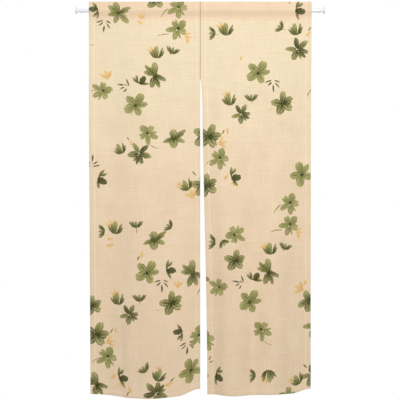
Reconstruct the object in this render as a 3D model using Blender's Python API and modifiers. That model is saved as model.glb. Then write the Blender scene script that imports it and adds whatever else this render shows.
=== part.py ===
"""A noren: two printed cloth panels, sewn together at the top, on a tension rod.

Metres, +Z up. X runs along the rod, the room looks at the cloth from -Y, and the
origin is the middle of the rod's axis.
"""

from collections import namedtuple
from math import acos, atan2, cos, hypot, pi, sin

import bmesh
import bpy

# Cloth
PANEL_WIDTH = 0.425
DROP = 1.500
HEADER_TOP = 0.034
UPPER_STITCH = 0.010
LOWER_STITCH = 0.025
FLAP_BELOW_STITCH = 0.014
CLOTH_THICKNESS = 0.0011
HEM_THICKNESS = 0.0019
SIDE_HEM = 0.019
BOTTOM_HEM = 0.014
HEM_STEP = 0.0015
LAYER_GAP = 0.0005
SEAM_GAP = 0.0003
SLIT_HEAD = 0.240
SLIT_EASE = 0.006
SLIT_EASE_LENGTH = 0.045

# Rod and its end caps
ROD_RADIUS = 0.0065
ROD_CLEARANCE = 0.0003
ROD_SIDES = 24
SPAN = 0.952
CAP_LENGTH = 0.028
COLLAR_LENGTH = 0.011
SOCKET_DEPTH = 0.0085
COLLAR_RADIUS = 0.0080
NECK_RADIUS = 0.0052
FOOT_RADIUS = 0.0125
FOOT_RIM = 0.0025
CAP_SIDES = 32

# Grid of the cloth
FIELD_COLUMNS = 15
HANGING_ROWS = 27
ROUND_STEPS = 5
FOLD_STEPS = 4

HANG = DROP - HEADER_TOP - LOWER_STITCH

Fold = namedtuple("Fold", "across spread forward starts")
Lift = namedtuple("Lift", "across spread rise")
Panel = namedtuple("Panel", "name left_edge slit_side slit_share folds lifts")

# across is the distance from the panel's left edge, starts the distance below the
# pocket's stitching where the fold begins; forward is its reach at the hem.
LEFT_PANEL = Panel(
    name="panel_left",
    left_edge=-PANEL_WIDTH - SEAM_GAP / 2,
    slit_side="right",
    slit_share=0.0,
    folds=(
        Fold(across=0.000, spread=0.090, forward=0.004, starts=0.10),
        Fold(across=0.085, spread=0.075, forward=-0.007, starts=0.20),
        Fold(across=0.240, spread=0.200, forward=0.016, starts=0.00),
        Fold(across=0.425, spread=0.090, forward=-0.012, starts=SLIT_HEAD),
    ),
    lifts=(
        Lift(across=0.000, spread=0.060, rise=0.002),
        Lift(across=0.120, spread=0.080, rise=-0.002),
        Lift(across=0.215, spread=0.230, rise=-0.013),
        Lift(across=0.425, spread=0.090, rise=0.018),
    ),
)
RIGHT_PANEL = Panel(
    name="panel_right",
    left_edge=SEAM_GAP / 2,
    slit_side="left",
    slit_share=1.0,
    folds=(
        Fold(across=0.000, spread=0.080, forward=-0.010, starts=SLIT_HEAD),
        Fold(across=0.110, spread=0.100, forward=0.027, starts=0.00),
        Fold(across=0.270, spread=0.100, forward=0.025, starts=0.00),
        Fold(across=0.425, spread=0.085, forward=-0.012, starts=0.10),
    ),
    lifts=(
        Lift(across=0.000, spread=0.080, rise=-0.004),
        Lift(across=0.190, spread=0.060, rise=-0.002),
        Lift(across=0.290, spread=0.120, rise=0.005),
        Lift(across=0.425, spread=0.085, rise=0.018),
    ),
)


def material(name, colour, roughness):
    surface = bpy.data.materials.new(name)
    surface.use_nodes = True
    shader = surface.node_tree.nodes["Principled BSDF"]
    shader.inputs["Base Color"].default_value = (*colour, 1.0)
    shader.inputs["Roughness"].default_value = roughness
    shader.inputs["Metallic"].default_value = 0.0
    return surface


def new_object(name, mesh, surface, collection):
    piece = bpy.data.objects.new(name, mesh)
    mesh.materials.append(surface)
    collection.objects.link(piece)
    return piece


def hump(offset, spread):
    """One at the fold's line, falling smoothly to nothing at its spread."""
    reach = min(1.0, abs(offset) / spread)
    return cos(pi / 2 * reach) ** 2


def growth(below, starts):
    """A fold opens from nothing where it starts to its full depth at the hem."""
    return sin(pi / 2 * max(0.0, (below - starts) / (HANG - starts)))


def fold_depth(folds, across, below):
    return sum(
        fold.forward * hump(across - fold.across, fold.spread) * growth(below, fold.starts)
        for fold in folds
    )


def rise(lifts, across, below):
    lifted = sum(lift.rise * hump(across - lift.across, lift.spread) for lift in lifts)
    return lifted * (below / HANG) ** 2


def column_places():
    """Distances across the flat panel, with a close pair at each side hem's inner edge."""
    inner = SIDE_HEM + HEM_STEP
    field = PANEL_WIDTH - 2 * inner
    places = [0.0, SIDE_HEM]
    places += [inner + field * step / FIELD_COLUMNS for step in range(FIELD_COLUMNS + 1)]
    return places + [PANEL_WIDTH - SIDE_HEM, PANEL_WIDTH]


def hanging_places():
    """Distances below the pocket's stitching, with a close pair at the bottom hem's top edge."""
    inner = HANG - BOTTOM_HEM - HEM_STEP
    places = [inner * step / HANGING_ROWS for step in range(1, HANGING_ROWS + 1)]
    return places + [HANG - BOTTOM_HEM, HANG]


def is_hem(across, below=0.0):
    at_side = min(across, PANEL_WIDTH - across) <= SIDE_HEM
    return at_side or below >= HANG - BOTTOM_HEM


def heading_half(thickness):
    """Outer face of the cloth as (out, height), from the header's fold down to the
    lower stitching, round the rod on the way."""
    out = LAYER_GAP / 2 + thickness
    radius = ROD_RADIUS + ROD_CLEARANCE + thickness
    upper = hypot(out, UPPER_STITCH)
    lower = hypot(out, LOWER_STITCH)
    first = atan2(out, UPPER_STITCH) + acos(radius / upper)
    last = pi - atan2(out, LOWER_STITCH) - acos(radius / lower)
    half = []
    for step in range(FOLD_STEPS + 1):
        turn = pi / 2 * step / FOLD_STEPS
        half.append((out * sin(turn), HEADER_TOP - out + out * cos(turn)))
    half.append((out, UPPER_STITCH))
    for step in range(ROUND_STEPS + 1):
        turn = first + (last - first) * step / ROUND_STEPS
        half.append((radius * sin(turn), radius * cos(turn)))
    half.append((out, -LOWER_STITCH))
    return half


def heading_section(thickness):
    """The whole heading as (y, z): up the flap behind the rod, over the fold, down the front."""
    half = heading_half(thickness)
    out = half[-1][0]
    behind = [(out, -LOWER_STITCH - FLAP_BELOW_STITCH)] + half[:0:-1]
    return behind + [(-y, z) for y, z in half]


def runs_across(panel, below, columns):
    """How far along X each strip between two columns reaches, once the folds tilt it."""
    depths = [fold_depth(panel.folds, across, below) for across in columns]
    strips = zip(columns, columns[1:], depths, depths[1:])
    return [((far - near) ** 2 - (deep - shallow) ** 2) ** 0.5 for near, far, shallow, deep in strips]


def row_across(panel, below, columns):
    """X of each column: the cloth keeps its own width, and what the folds take up opens the slit
    or draws in the outer edge, by the panel's slit_share."""
    runs = runs_across(panel, below, columns)
    taken = PANEL_WIDTH - sum(runs)
    taken_at_head = PANEL_WIDTH - sum(runs_across(panel, min(below, SLIT_HEAD), columns))
    opened = min(1.0, max(0.0, (below - SLIT_HEAD) / SLIT_EASE_LENGTH))
    ease = SLIT_EASE * sin(pi / 2 * opened) * panel.slit_share
    at_slit = (taken - taken_at_head) * panel.slit_share + ease
    width = PANEL_WIDTH - taken - ease
    if panel.slit_side == "right":
        start = panel.left_edge + PANEL_WIDTH - at_slit - width
    else:
        start = panel.left_edge + at_slit
    places = [start]
    for run in runs:
        places.append(places[-1] + run * width / sum(runs))
    return places


def panel_mesh(panel):
    columns = column_places()
    hanging = hanging_places()
    sections = [heading_section(HEM_THICKNESS if is_hem(across) else CLOTH_THICKNESS) for across in columns]
    heading_rows = len(sections[0])
    rows = heading_rows + len(hanging)

    work = bmesh.new()
    bmesh.ops.create_grid(work, x_segments=len(columns) - 1, y_segments=rows - 1, size=0.5)
    work.verts.ensure_lookup_table()
    flat_across = row_across(panel, 0.0, columns)
    hem_points = []
    for index, point in enumerate(work.verts):
        row, column = divmod(index, len(columns))
        across = columns[column]
        if row < heading_rows:
            y, z = sections[column][row]
            point.co = (flat_across[column], y, z)
            thick = is_hem(across)
        else:
            below = hanging[row - heading_rows]
            x = row_across(panel, below, columns)[column]
            y = sections[column][-1][0] - fold_depth(panel.folds, across, below)
            z = -LOWER_STITCH - below + rise(panel.lifts, across, below)
            point.co = (x, y, z)
            thick = is_hem(across, below)
        if thick:
            hem_points.append(index)
    bmesh.ops.recalc_face_normals(work, faces=work.faces)
    mesh = bpy.data.meshes.new(panel.name)
    work.to_mesh(mesh)
    work.free()
    mesh.shade_smooth()
    return mesh, hem_points


def add_panel(panel, surface, collection):
    mesh, hem_points = panel_mesh(panel)
    piece = new_object(panel.name, mesh, surface, collection)
    hems = piece.vertex_groups.new(name="hems")
    hems.add(hem_points, 1.0, "REPLACE")
    wall = piece.modifiers.new("cloth thickness", "SOLIDIFY")
    wall.thickness = HEM_THICKNESS
    wall.offset = -1.0
    wall.use_even_offset = True
    wall.vertex_group = hems.name
    wall.thickness_vertex_group = CLOTH_THICKNESS / HEM_THICKNESS
    return piece


def add_rod(surface, collection):
    half_length = SPAN / 2 - CAP_LENGTH + SOCKET_DEPTH - ROD_CLEARANCE
    work = bmesh.new()
    bmesh.ops.create_cone(
        work,
        cap_ends=True,
        segments=ROD_SIDES,
        radius1=ROD_RADIUS,
        radius2=ROD_RADIUS,
        depth=2 * half_length,
    )
    mesh = bpy.data.meshes.new("rod")
    work.to_mesh(mesh)
    work.free()
    rod = new_object("rod", mesh, surface, collection)
    rod.rotation_euler = (0.0, pi / 2, 0.0)
    return rod


def cap_profile():
    """(radius, distance from the collar's mouth) round the half section, axis to axis:
    the foot's flat face, its flare, the neck, the collar and the socket for the tube."""
    socket_radius = ROD_RADIUS + ROD_CLEARANCE
    flare = CAP_LENGTH - COLLAR_LENGTH
    steps = 6
    profile = [(0.0, CAP_LENGTH), (FOOT_RADIUS, CAP_LENGTH), (FOOT_RADIUS, CAP_LENGTH - FOOT_RIM)]
    for step in range(1, steps + 1):
        turn = pi / 2 * step / steps
        radius = FOOT_RADIUS - (FOOT_RADIUS - NECK_RADIUS) * sin(turn)
        along = CAP_LENGTH - FOOT_RIM - (flare - 2 * FOOT_RIM) * (1 - cos(turn))
        profile.append((radius, along))
    profile += [
        (COLLAR_RADIUS, COLLAR_LENGTH),
        (COLLAR_RADIUS, 0.0),
        (socket_radius, 0.0),
        (socket_radius, SOCKET_DEPTH),
        (0.0, SOCKET_DEPTH),
    ]
    return profile


def add_end_cap(name, side, surface, collection):
    mesh = bpy.data.meshes.new(name)
    profile = cap_profile()
    work = bmesh.new()
    points = [work.verts.new((radius, 0.0, along)) for radius, along in profile]
    for a, b in zip(points, points[1:]):
        work.edges.new((a, b))
    work.to_mesh(mesh)
    work.free()
    cap = new_object(name, mesh, surface, collection)
    cap.location = (side * (SPAN / 2 - CAP_LENGTH), 0.0, 0.0)
    cap.rotation_euler = (0.0, side * pi / 2, 0.0)
    turned = cap.modifiers.new("turned", "SCREW")
    turned.axis = "Z"
    turned.angle = 2 * pi
    turned.steps = CAP_SIDES
    turned.render_steps = CAP_SIDES
    turned.use_merge_vertices = True
    turned.merge_threshold = 0.00001
    turned.use_normal_calculate = True
    return cap


def main():
    for item in list(bpy.data.objects):
        bpy.data.objects.remove(item, do_unlink=True)
    collection = bpy.data.collections.new("noren_curtain_with_rod")
    bpy.context.scene.collection.children.link(collection)
    cloth = material("printed cloth", (0.82, 0.68, 0.47), 0.9)
    tube = material("white painted tube", (0.86, 0.87, 0.88), 0.35)
    rubber = material("white soft plastic", (0.80, 0.80, 0.80), 0.55)
    for panel in (LEFT_PANEL, RIGHT_PANEL):
        add_panel(panel, cloth, collection)
    add_rod(tube, collection)
    add_end_cap("end_cap_left", -1, rubber, collection)
    add_end_cap("end_cap_right", 1, rubber, collection)


main()
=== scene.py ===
from bisect import bisect_left, bisect_right
from collections import namedtuple
from functools import reduce
from math import acos, atan2, cos, exp, hypot, pi, radians, sin

import bmesh
import bpy
from mathutils import Matrix, Vector


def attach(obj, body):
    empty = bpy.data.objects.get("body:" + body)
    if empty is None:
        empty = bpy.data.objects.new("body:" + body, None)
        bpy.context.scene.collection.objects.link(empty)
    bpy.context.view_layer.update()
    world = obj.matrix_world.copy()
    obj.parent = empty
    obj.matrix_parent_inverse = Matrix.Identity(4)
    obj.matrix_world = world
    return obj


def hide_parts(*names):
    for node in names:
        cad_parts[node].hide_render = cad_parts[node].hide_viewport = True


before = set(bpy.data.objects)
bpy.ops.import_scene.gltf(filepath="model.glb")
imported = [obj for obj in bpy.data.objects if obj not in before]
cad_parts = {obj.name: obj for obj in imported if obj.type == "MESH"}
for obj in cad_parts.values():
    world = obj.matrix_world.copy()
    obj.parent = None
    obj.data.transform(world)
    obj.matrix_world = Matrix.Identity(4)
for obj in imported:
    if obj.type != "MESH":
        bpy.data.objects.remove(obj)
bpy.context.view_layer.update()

# Cloth
# A linen-look cotton in warm ecru, woven plain with thick and thin threads both ways. The
# weave is drawn in millimetres of the flat cloth, so it follows the cloth over every fold.
MILLIMETRES = 1000.0
THREAD_PITCH = 1.1
THREAD_WANDER = 6.0
# Streaks and patches: grains for a millimetre across and down, and a shift to set them apart.
WARP_STREAKS = (0.75, 0.020, 3.1)
WEFT_STREAKS = (0.018, 0.80, 9.4)
WIDE_WARP_STREAKS = (0.20, 0.012, 17.0)
WIDE_WEFT_STREAKS = (0.012, 0.22, 23.5)
PATCHES = (0.011, 0.008, 41.0)
WIDE_SHARE = 0.6
PATCH_SHARE = 0.8
CROSSING_SHARE = 0.10
STREAK_CONTRAST = 0.70
STREAK_LEVEL = -0.95
CROSSING_HEIGHT = 0.25
STREAK_HEIGHT = 0.5
# Places on the flat cloth, in millimetres across both panels and down from the top fold. A pair
# that ends in EDGE goes from where a shade is nothing to where it is full.
HEMS_ACROSS = ((0.0, 19.0), (406.0, 444.0), (831.0, 850.0))
# Along these stitch lines a pale line is painted, partly the thread's colour and partly a painted
# highlight.
STITCH_LINES_ACROSS = (19.5, 409.5, 445.5, 830.5)
STITCH_LINE_EDGE = (1.8, 0.9)
# A painted shadow down the groove where the two panels meet, as far down as the slit.
SEAM_ACROSS = 425.0
SEAM_SHADOW_EDGE = (2.2, 1.2)
SEAM_SHADOW_END_EDGE = (301.0, 299.0)
HEADING_ENDS = 75.0
# A band of painted shade across the pocket, under the rod.
POCKET_SHADE_TOP_EDGE = (32.0, 46.0)
POCKET_SHADE_FOOT_EDGE = (66.0, 52.0)
ROSY_EDGE = (40.0, 850.0)
# How strong each shade is. Of a pair, the first multiplies the pattern and the second is added.
ROSY_AT_HEM = 0.85
ROSY_PATCHES = (1.2, -0.35)
ROSY_SIDE_HEMS = 0.25
STITCH_THREAD_AND_HIGHLIGHT_TINT = 0.45
POCKET_SHADE_STRENGTH = 0.30
SEAM_SHADOW_STRENGTH = 0.52


def colour(red, green, blue):
    """The shader's colour for an ordinary one of 0 to 255."""
    return (*(((part / 255 + 0.055) / 1.055) ** 2.4 for part in (red, green, blue)), 1.0)


LINEN_DARK = colour(226, 207, 172)
LINEN_LIGHT = colour(250, 237, 205)
LINEN_ROSY_DARK = colour(226, 197, 164)
LINEN_ROSY_LIGHT = colour(250, 226, 195)
# A pale cream, laid along the stitch lines partly as a painted highlight, and over the wrong side to pale
# it.
STITCH_LINE = colour(255, 240, 214)
# A painted shadow for the groove of the seam.
PAINTED_SEAM_SHADOW = colour(168, 142, 112)
# A painted shade for the pocket under the rod.
PAINTED_POCKET_SHADE = colour(206, 180, 148)


def fill(socket, value):
    """Gives a socket its value, or links another node's output to it."""
    if isinstance(value, bpy.types.NodeSocket):
        socket.id_data.links.new(value, socket)
    elif value is not None:
        socket.default_value = value


def add(kind, *values, tree=None, **settings):
    """Adds a node, in the tree of the first output given, and fills its sockets in order."""
    if tree is None:
        tree = next(value.id_data for value in values if isinstance(value, bpy.types.NodeSocket))
    made = tree.nodes.new("ShaderNode" + kind)
    for name, setting in settings.items():
        setattr(made, name, setting)
    for socket, value in zip(made.inputs, values):
        fill(socket, value)
    return made.outputs[0]


def maths(operation, *values, **settings):
    return add("Math", *values, operation=operation, **settings)


def times(first, second):
    return maths("MULTIPLY", first, second)


def scaled(value, factor, plus, **settings):
    return maths("MULTIPLY_ADD", value, factor, plus, **settings)


def vector_maths(operation, *values):
    return add("VectorMath", *values, operation=operation)


def away_from(value, line):
    return maths("ABSOLUTE", maths("SUBTRACT", value, line))


def blend(factor, first, second):
    """Mixes two colours, each a colour or another node's output."""
    mix = add("Mix", factor, data_type="RGBA").node
    for name, value in (("A_Color", first), ("B_Color", second)):
        fill(next(socket for socket in mix.inputs if socket.identifier == name), value)
    return next(socket for socket in mix.outputs if socket.identifier == "Result_Color")


def fade(value, start, end):
    """Nothing at the start, one at the end, with a soft step between."""
    return add("MapRange", value, start, end, 0.0, 1.0, interpolation_type="SMOOTHSTEP")


def new_group(name, inputs, outputs):
    tree = bpy.data.node_groups.new(name, "ShaderNodeTree")
    for side, sockets in (("INPUT", inputs), ("OUTPUT", outputs)):
        for socket, kind in sockets:
            tree.interface.new_socket(name=socket, in_out=side, socket_type="NodeSocket" + kind)
    return tree, tree.nodes.new("NodeGroupInput"), tree.nodes.new("NodeGroupOutput")


def noise(place, grain, detail, roughness):
    return add("TexNoise", place, None, grain, detail, roughness)


def stretched_noise(place, across, down, shift):
    """Noise whose grains are wide or tall: across and down are grains for each millimetre."""
    moved = vector_maths("MULTIPLY", place, (across, down, 1.0))
    moved = vector_maths("ADD", moved, (shift, shift * 0.37, shift * 0.71))
    return noise(moved, 1.0, 2.0, 0.55)


weave, entry, leaving = new_group(
    "linen weave",
    (("Paleness", "Float"),),
    (("Colour", "Color"), ("Height", "Float"), ("Threads", "Float"), ("Place", "Vector")),
)
flat_place = add("UVMap", tree=weave, uv_map="cloth")
place = vector_maths("SCALE", flat_place, None, None, MILLIMETRES)
apart = add("SeparateXYZ", place).node.outputs
across = apart[0]
down = times(apart[1], -1.0)
warp, weft, wide_warp, wide_weft, patches = (
    stretched_noise(place, *grains)
    for grains in (WARP_STREAKS, WEFT_STREAKS, WIDE_WARP_STREAKS, WIDE_WEFT_STREAKS, PATCHES)
)
turns = 2 * pi / THREAD_PITCH
warp_wave = scaled(apart[0], turns, times(weft, THREAD_WANDER))
weft_wave = scaled(apart[1], turns, times(warp, THREAD_WANDER))
crossing = times(maths("SINE", warp_wave), maths("SINE", weft_wave))
fine = maths("ADD", warp, weft)
streaks = scaled(maths("ADD", wide_warp, wide_weft), WIDE_SHARE, fine)
streaks = scaled(patches, PATCH_SHARE, streaks)
threads = scaled(streaks, STREAK_CONTRAST, STREAK_LEVEL)
shade = scaled(crossing, CROSSING_SHARE, threads, use_clamp=True)

hems = [
    maths("COMPARE", across, (start + end) / 2, (end - start) / 2) for start, end in HEMS_ACROSS
]
side_hem = reduce(lambda first, second: maths("ADD", first, second), hems)
heading = maths("LESS_THAN", down, HEADING_ENDS)
layered = maths("MAXIMUM", times(side_hem, ROSY_SIDE_HEMS), heading)
rosy_patches = scaled(patches, *ROSY_PATCHES, use_clamp=True)
rosy_low_down = times(fade(down, *ROSY_EDGE), ROSY_AT_HEM)
rosy = maths("MAXIMUM", maths("MAXIMUM", rosy_low_down, rosy_patches), layered)
cream = blend(shade, LINEN_DARK, LINEN_LIGHT)
ground = blend(rosy, cream, blend(shade, LINEN_ROSY_DARK, LINEN_ROSY_LIGHT))
from_lines = [away_from(across, line) for line in STITCH_LINES_ACROSS]
from_line = reduce(lambda first, second: maths("MINIMUM", first, second), from_lines)
# A pale line along each line of stitches: partly the thread's own pale colour, partly a painted highlight
# on the puckered cloth beside it.
stitch_thread_and_highlight = times(fade(from_line, *STITCH_LINE_EDGE), STITCH_THREAD_AND_HIGHLIGHT_TINT)
ground = blend(maths("MAXIMUM", stitch_thread_and_highlight, entry.outputs["Paleness"]), ground, STITCH_LINE)
# Painted shade across the pocket, below the rod, where the cloth turns back under it.
pocket = times(fade(down, *POCKET_SHADE_TOP_EDGE), fade(down, *POCKET_SHADE_FOOT_EDGE))
ground = blend(times(pocket, POCKET_SHADE_STRENGTH), ground, PAINTED_POCKET_SHADE)
# A painted shadow along the seam, in the groove between the two panels, down to the slit.
seam_shadow_across = fade(away_from(across, SEAM_ACROSS), *SEAM_SHADOW_EDGE)
painted_seam_shadow = times(seam_shadow_across, fade(down, *SEAM_SHADOW_END_EDGE))
ground = blend(times(painted_seam_shadow, SEAM_SHADOW_STRENGTH), ground, PAINTED_SEAM_SHADOW)
height = scaled(crossing, CROSSING_HEIGHT, times(fine, STREAK_HEIGHT))
for name, value in (("Colour", ground), ("Height", height), ("Threads", threads), ("Place", place)):
    fill(leaving.inputs[name], value)

# Print
# Scattered flowers, buds and sprigs in two greens with a little ochre, as if brushed freely. The
# ink is on the right side of the cloth only, and shows faintly through on the wrong side.
OLIVE = colour(168, 165, 100)
LEAF_GREEN = colour(56, 62, 12)
OCHRE = colour(240, 203, 138)
OCHRE_DEEP = colour(218, 166, 98)
TWIG = colour(186, 160, 120)
TWIG_DARK = colour(120, 104, 62)
EYE = colour(64, 66, 34)
INK_COVER = 0.96
INK_ON_THREADS = (0.30, 0.86)
SHOW_THROUGH = 0.22
BACK_PALENESS = 0.15
PRINT_LAYERS = 4
HAND_WOBBLE = 3.2
WOBBLE_GRAIN = 0.11
WOBBLE_MARGIN = HAND_WOBBLE * 0.8
# One petal: its soft edge in millimetres, then the lobes at its tip and the marks of the brush,
# in shares of its length and width.
PETAL_EDGE = 0.7
BRUSH_WIDTH = 0.88
LOBE_GRAIN = 1.7
LOBE_DEPTH = (1.1, 0.42)
STROKE_GRAINS = (1.3, 3.6)
STROKE_EDGE = (0.49, 0.57)
BARE_EDGE = (0.41, 0.33)
BARE_SHARE = 0.45
OUTLINE_EDGE = (0.70, 0.95)
OUTLINE_SHARE = 0.95
RIB_EDGE = (0.26, 0.06)
RIB_END_EDGE = (0.95, 0.45)
LINE_DEPTH = (0.70, 0.10)
STROKE_DEPTH = (0.28, 0.20)
STROKE_ON_DARK = 0.4

petal_sockets = (
    ("Under", "Color"), ("Light", "Color"), ("Dark", "Color"), ("Place", "Vector"), ("Root", "Vector"),
    ("Turn", "Float"), ("Length", "Float"), ("Width", "Float"), ("Fullness", "Float"),
    ("Point", "Float"), ("Bend", "Float"), ("Darkness", "Float"), ("Heart", "Float"),
)
brush, entry, leaving = new_group("brushed petal", petal_sockets, (("Colour", "Color"),))
given = entry.outputs
from_root = vector_maths("SUBTRACT", given["Place"], given["Root"])
turned = add("VectorRotate", from_root, None, None, given["Turn"], rotation_type="Z_AXIS", invert=True)
apart = add("SeparateXYZ", turned).node.outputs
along = maths("DIVIDE", apart[0], given["Length"], use_clamp=True)
bowed = times(times(along, along), given["Bend"])
sideways = maths("SUBTRACT", apart[1], bowed)
lobe_side = times(maths("DIVIDE", sideways, given["Width"]), LOBE_GRAIN)
lobe_place = add("CombineXYZ", lobe_side, given["Turn"], 0.0)
lobes = noise(lobe_place, 1.0, 1.0, 0.5)
reached = maths("MAXIMUM", scaled(lobes, *LOBE_DEPTH), 1.0)
along = maths("MULTIPLY", along, reached, use_clamp=True)
swell = times(maths("POWER", along, given["Fullness"]), pi)
swell = maths("MAXIMUM", maths("SINE", swell), 0.0)
brush_width = times(given["Width"], BRUSH_WIDTH)
half_width = times(maths("POWER", swell, given["Point"]), brush_width)
off_middle = maths("ABSOLUTE", sideways)
cover = fade(maths("SUBTRACT", half_width, off_middle), 0.0, PETAL_EDGE)
side = maths("DIVIDE", sideways, maths("MAXIMUM", half_width, 0.01))
stroke_along = times(along, STROKE_GRAINS[0])
stroke_side = times(side, STROKE_GRAINS[1])
stroke_place = add("CombineXYZ", stroke_along, stroke_side, given["Turn"])
brushing = noise(stroke_place, 1.0, 2.5, 0.6)
strokes = fade(brushing, *STROKE_EDGE)
bare = times(fade(brushing, *BARE_EDGE), BARE_SHARE)
cover = times(cover, maths("SUBTRACT", INK_COVER, bare))
off_rib = maths("ABSOLUTE", side)
outline = times(fade(off_rib, *OUTLINE_EDGE), OUTLINE_SHARE)
rib = times(fade(off_rib, *RIB_EDGE), fade(along, *RIB_END_EDGE))
lines = scaled(given["Heart"], *LINE_DEPTH)
lines = times(lines, maths("MAXIMUM", outline, rib))
towards_root = maths("SUBTRACT", 1.0, along)
near_root = times(towards_root, towards_root)
darkness = scaled(near_root, given["Heart"], given["Darkness"])
stroke_depth = scaled(towards_root, *STROKE_DEPTH)
stroke_depth = scaled(darkness, STROKE_ON_DARK, stroke_depth)
darkness = scaled(strokes, stroke_depth, darkness)
darkness = maths("ADD", lines, darkness, use_clamp=True)
ink = blend(darkness, given["Light"], given["Dark"])
fill(leaving.inputs["Colour"], blend(cover, given["Under"], ink))

# The motifs, in the order in which they lie over each other, each with its petals from the
# lowest up. A petal starts x to the right and y up of the motif's middle, in millimetres, and
# points along its turn in degrees. Its width is measured from its middle line. Fullness and
# point shape its outline, bend bows it, and dark and heart darken it all over or at its root.
Petal = namedtuple("Petal", "x y turn length width fullness point bend dark heart")
Spot = namedtuple("Spot", "x y size ink")
Motif = namedtuple("Motif", "light dark petals spots")


def motif_of(petals, spots=(), light=OLIVE, dark=LEAF_GREEN):
    return Motif(light, dark, [Petal(*petal) for petal in petals], [Spot(*spot) for spot in spots])


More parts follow.
